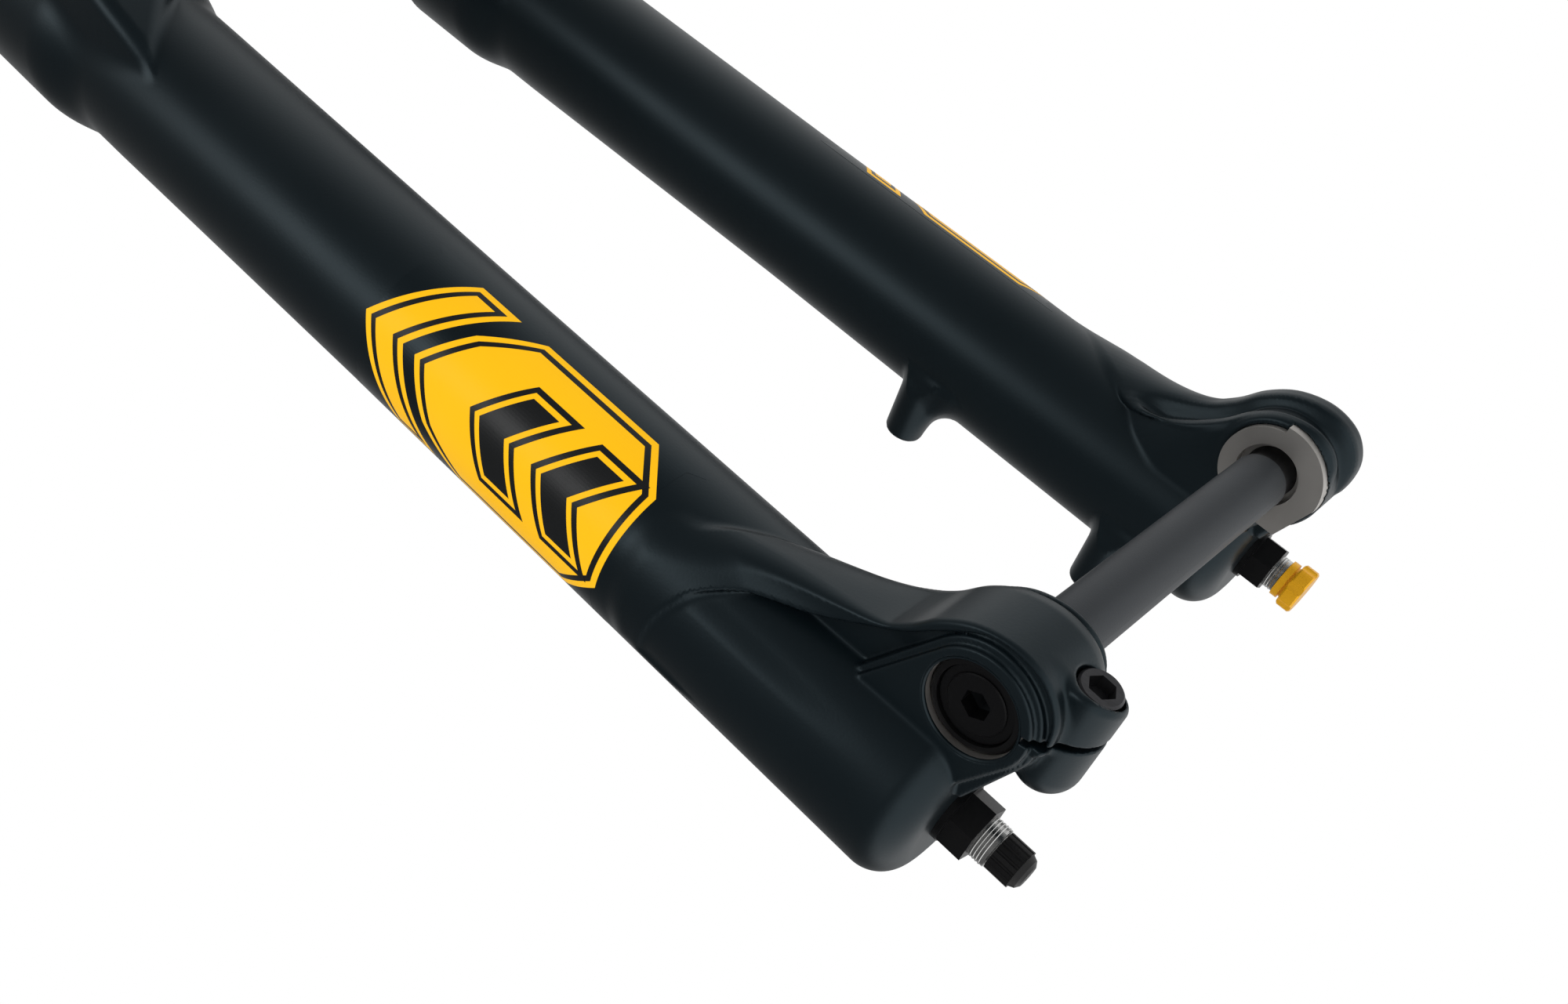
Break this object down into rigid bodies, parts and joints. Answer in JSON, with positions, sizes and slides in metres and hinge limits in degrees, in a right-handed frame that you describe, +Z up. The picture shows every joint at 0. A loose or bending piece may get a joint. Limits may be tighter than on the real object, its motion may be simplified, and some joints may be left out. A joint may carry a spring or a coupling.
{
  "type": "suspension fork",
  "caption": "Long-travel single-crown bicycle suspension fork with sliding lower legs, a front arch, a through axle, damper and air spring.",
  "frame": {"origin": "centre of the wheel axle", "axes": "+X forward, +Y to the rider's left, +Z up along the steerer"},
  "size_m": [0.0895, 0.205, 0.8198],
  "materials": {
    "lowers_paint": "satin black cast magnesium, slightly blue-green",
    "crown_anodised": "black bead-blasted anodised forging",
    "stanchion_coating": "polished dark hard-anodised tube",
    "steerer_aluminium": "black anodised tube with a bare race seat",
    "bare_metal": "bare turned or machined metal",
    "black_steel": "black oxide steel",
    "axle_grey": "matte dark grey anodised tube",
    "bright_steel": "polished or plated steel shaft",
    "gold_anodised": "gold anodised aluminium",
    "black_plastic": "black moulded plastic",
    "seal_rubber": "black rubber",
    "foam": "oiled open-cell foam",
    "bushing_lining": "low-friction lined bushing",
    "brass": "plain brass",
    "decal_film": "yellow and black printed film"
  },
  "bodies": {
    "crown_assembly": {"steerer_tube": "steerer_aluminium", "fork_crown": "crown_anodised", "stanchion_left": "stanchion_coating", "stanchion_right": "stanchion_coating", "air_top_cap": "crown_anodised", "main_valve_core": "brass", "damper_top_cap": "crown_anodised", "damper_tube": "bare_metal", "damper_seal_head": "bare_metal", "compression_valve": "bare_metal", "expansion_bladder": "seal_rubber", "air_seal_head": "bare_metal"},
    "lowers": {"lower_legs_casting": "lowers_paint", "axle_thread_insert": "bare_metal", "pinch_bolt": "black_steel", "damper_shaft": "bright_steel", "damper_piston": "bare_metal", "piston_shims": "bright_steel", "piston_nut": "bright_steel", "air_shaft": "bright_steel", "air_piston": "bare_metal", "air_piston_seal": "seal_rubber", "air_top_out_bumper": "seal_rubber", "damper_top_out_bumper": "seal_rubber", "ramp_valve_core": "brass", "wiper_seal_left": "seal_rubber", "foam_ring_left": "foam", "upper_bushing_left": "bushing_lining", "lower_bushing_left": "bushing_lining", "foot_nut_left": "black_steel", "bottom_out_bumper_left": "seal_rubber", "wiper_seal_right": "seal_rubber", "foam_ring_right": "foam", "upper_bushing_right": "bushing_lining", "lower_bushing_right": "bushing_lining", "foot_nut_right": "black_steel", "bottom_out_bumper_right": "seal_rubber"},
    "axle_sleeve": {"axle_sleeve": "black_steel"},
    "thru_axle": {"thru_axle": "axle_grey"},
    "rebound_adjuster": {"rebound_knob": "gold_anodised", "rebound_rod": "bare_metal"},
    "ramp_valve_cap": {"ramp_valve_cap": "black_plastic"},
    "ramp_valve_pin": {"ramp_valve_pin": "brass"},
    "main_valve_cover": {"main_valve_cover": "crown_anodised"},
    "main_valve_pin": {"main_valve_pin": "brass"},
    "high_speed_adjuster": {"high_speed_knob": "crown_anodised"},
    "low_speed_adjuster": {"low_speed_knob": "gold_anodised", "compression_needle": "bare_metal"}
  },
  "joints": [
    {"name": "travel", "type": "slide", "parent": "crown_assembly", "child": "lowers", "axis": [0, 0, 1], "range_m": [0, 0.17], "stiffness_N_per_m": 4500, "springref_m": -0.03},
    {"name": "axle_withdraw", "type": "slide", "parent": "lowers", "child": "axle_sleeve", "axis": [0, -1, 0], "range_m": [0, 0.165]},
    {"name": "axle_turn", "type": "hinge", "parent": "axle_sleeve", "child": "thru_axle", "pos_m": [0, 0, 0], "axis": [0, 1, 0], "continuous": true},
    {"name": "rebound_turn", "type": "hinge", "parent": "lowers", "child": "rebound_adjuster", "pos_m": [-0.0343, 0.075, -0.02], "axis": [0, 0, 1], "range_deg": [0, 340]},
    {"name": "ramp_cap_off", "type": "slide", "parent": "lowers", "child": "ramp_valve_cap", "axis": [0, 0, -1], "range_m": [0, 0.015]},
    {"name": "ramp_pin_press", "type": "slide", "parent": "lowers", "child": "ramp_valve_pin", "axis": [0, 0, 1], "range_m": [0, 0.0015], "stiffness_N_per_m": 400, "springref_m": -0.001},
    {"name": "main_cover_off", "type": "slide", "parent": "crown_assembly", "child": "main_valve_cover", "axis": [0, 0, 1], "range_m": [0, 0.02]},
    {"name": "main_pin_press", "type": "slide", "parent": "crown_assembly", "child": "main_valve_pin", "axis": [0, 0, -1], "range_m": [0, 0.0015], "stiffness_N_per_m": 400, "springref_m": -0.001},
    {"name": "high_speed_turn", "type": "hinge", "parent": "crown_assembly", "child": "high_speed_adjuster", "pos_m": [-0.0343, 0.075, 0.593], "axis": [0, 0, 1], "range_deg": [0, 270]},
    {"name": "low_speed_turn", "type": "hinge", "parent": "crown_assembly", "child": "low_speed_adjuster", "pos_m": [-0.0343, 0.075, 0.6], "axis": [0, 0, 1], "range_deg": [0, 330]}
  ]
}
